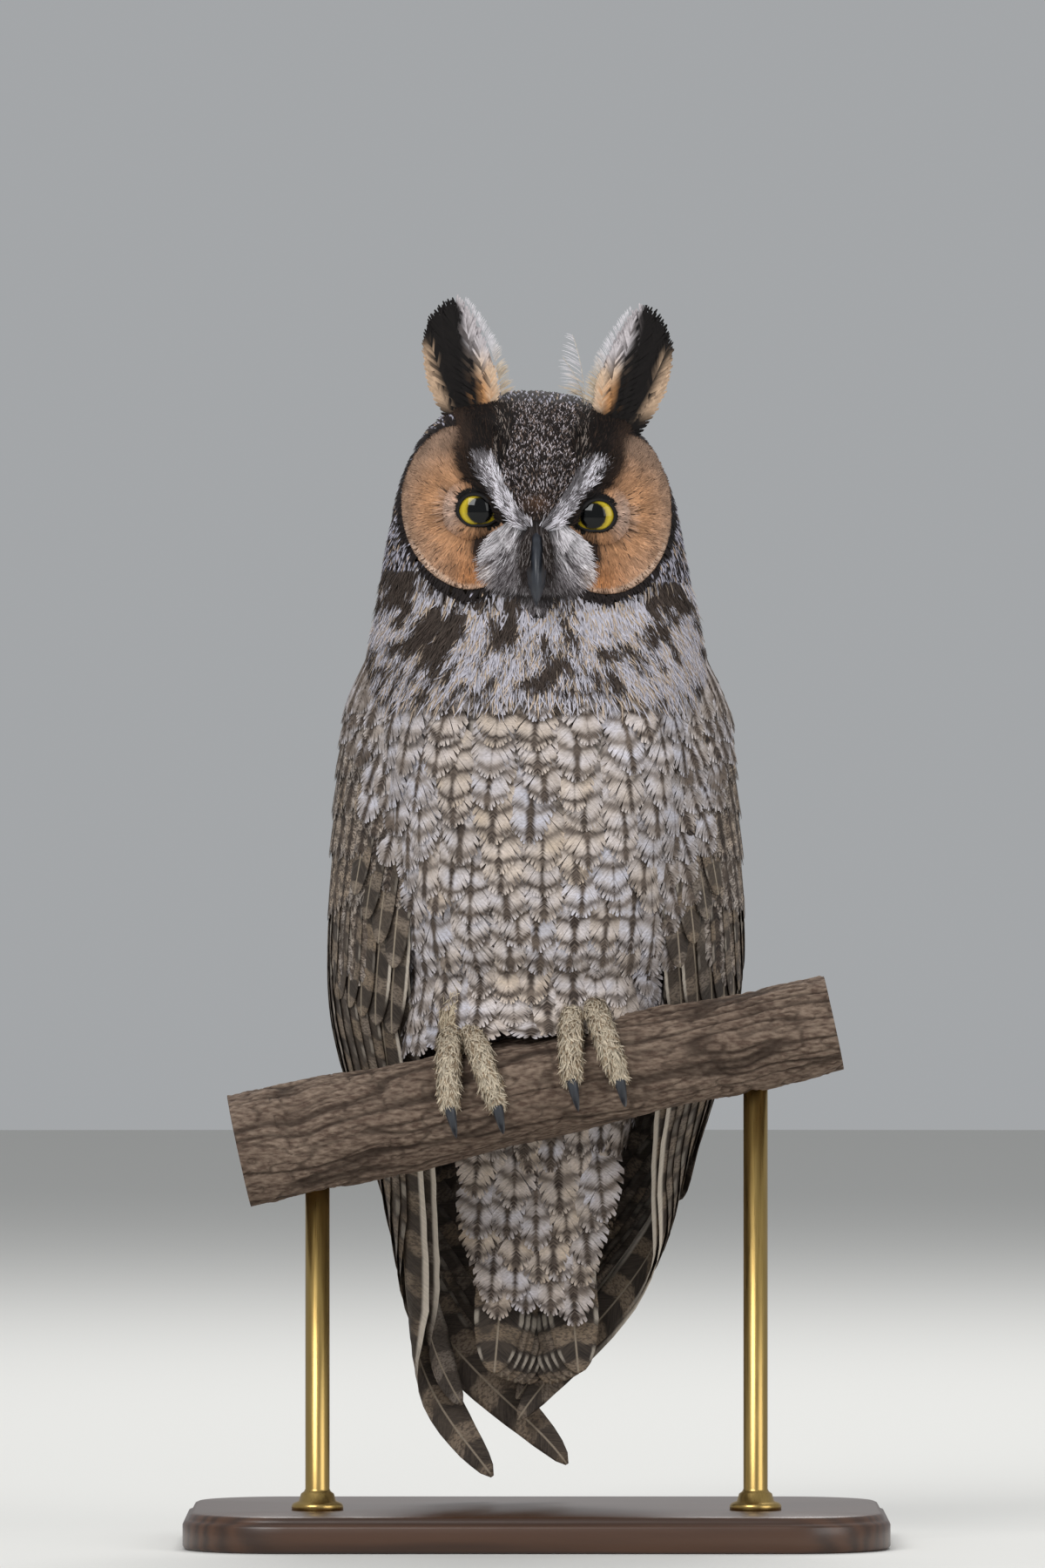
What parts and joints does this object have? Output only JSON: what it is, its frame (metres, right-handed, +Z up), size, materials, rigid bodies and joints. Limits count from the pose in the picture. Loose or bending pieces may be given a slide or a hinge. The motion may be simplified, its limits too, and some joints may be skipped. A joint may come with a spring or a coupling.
{
  "type": "long eared owl",
  "caption": "Life size still model of an adult long-eared owl standing upright on a cut length of branch held by rods on a flat base.",
  "frame": {"origin": "middle of the underside of the stand's base", "axes": "+Z up, -Y the way the owl faces, +X toward the owl's own left side"},
  "size_m": [0.232, 0.15, 0.4124],
  "materials": {
    "barred_feathers": "soft feathers, pale with dark streaks and cross bars",
    "mottled_feathers": "soft feathers, dark grey-brown mottled with white and buff",
    "tawny_feathers": "fine hair-like tawny feathers",
    "tuft_feathers": "black-brown feathers edged with buff and white",
    "foot_feathers": "short buff feathers",
    "eye": "glossy, yellow iris and black pupil",
    "lid": "dark bare skin",
    "horn": "smooth dark slate horn",
    "bark": "rough grey-brown bark with sawn ends",
    "base_wood": "dark stained wood, satin",
    "rod_metal": "brushed, dull"
  },
  "bodies": {
    "root": {"head": "mottled_feathers", "facial_disc_left": "tawny_feathers", "facial_disc_right": "tawny_feathers", "eye_left": "eye", "eye_right": "eye", "eyelids_left": "lid", "eyelids_right": "lid", "beak_upper": "horn", "beak_lower": "horn", "ear_tuft_left": "tuft_feathers", "ear_tuft_right": "tuft_feathers", "neck": "mottled_feathers", "torso": "barred_feathers", "wing_left": "mottled_feathers", "wing_right": "mottled_feathers", "tail": "barred_feathers", "leg_left": "foot_feathers", "leg_right": "foot_feathers", "foot_left": "foot_feathers", "foot_right": "foot_feathers", "claw_left_1": "horn", "claw_left_2": "horn", "claw_left_3": "horn", "claw_left_4": "horn", "claw_right_1": "horn", "claw_right_2": "horn", "claw_right_3": "horn", "claw_right_4": "horn", "perch": "bark", "stand_rod_left": "rod_metal", "stand_rod_right": "rod_metal", "stand_base": "base_wood"}
  },
  "joints": []
}
